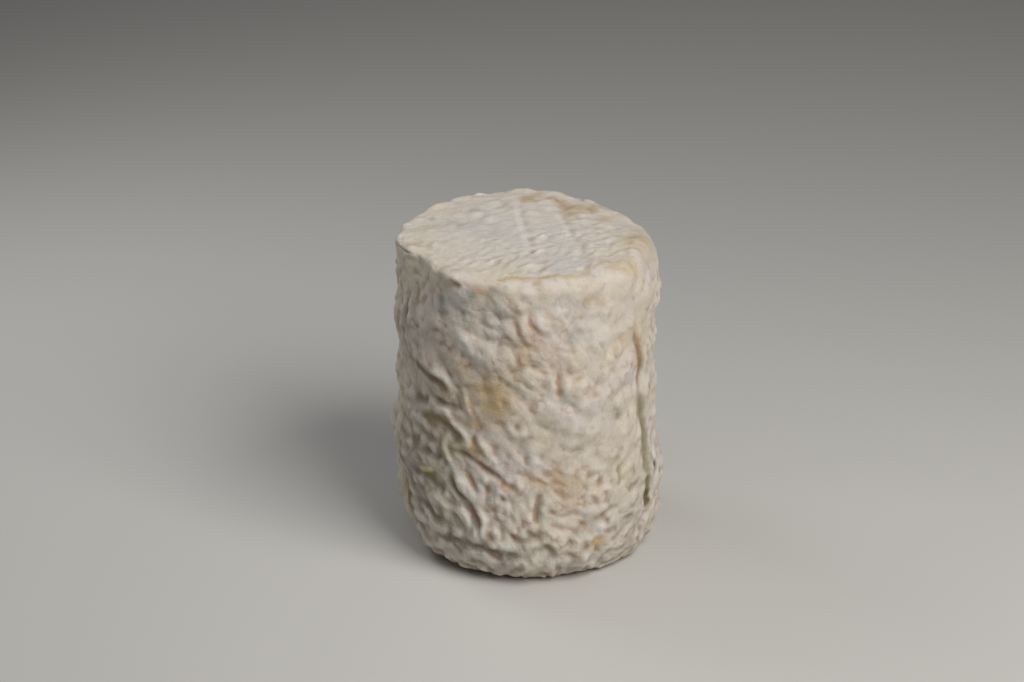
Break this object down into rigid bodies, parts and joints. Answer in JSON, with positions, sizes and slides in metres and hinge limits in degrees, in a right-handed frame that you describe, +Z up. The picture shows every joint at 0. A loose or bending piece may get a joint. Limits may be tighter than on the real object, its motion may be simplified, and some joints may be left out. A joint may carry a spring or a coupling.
{
  "type": "goat cheese",
  "caption": "Tall drum of soft-ripened goat cheese with a wrinkled ivory rind; it stands on its flat base and is cut into rounds to eat.",
  "frame": {"origin": "middle of the flat base, at the height of the surface the cheese stands on", "axes": "+Z up along the height of the drum, -Y to the front, +X to the right"},
  "size_m": [0.0696, 0.0687, 0.0831],
  "materials": {
    "rind": null
  },
  "bodies": {
    "root": {"cheese_drum": "rind"}
  },
  "joints": []
}
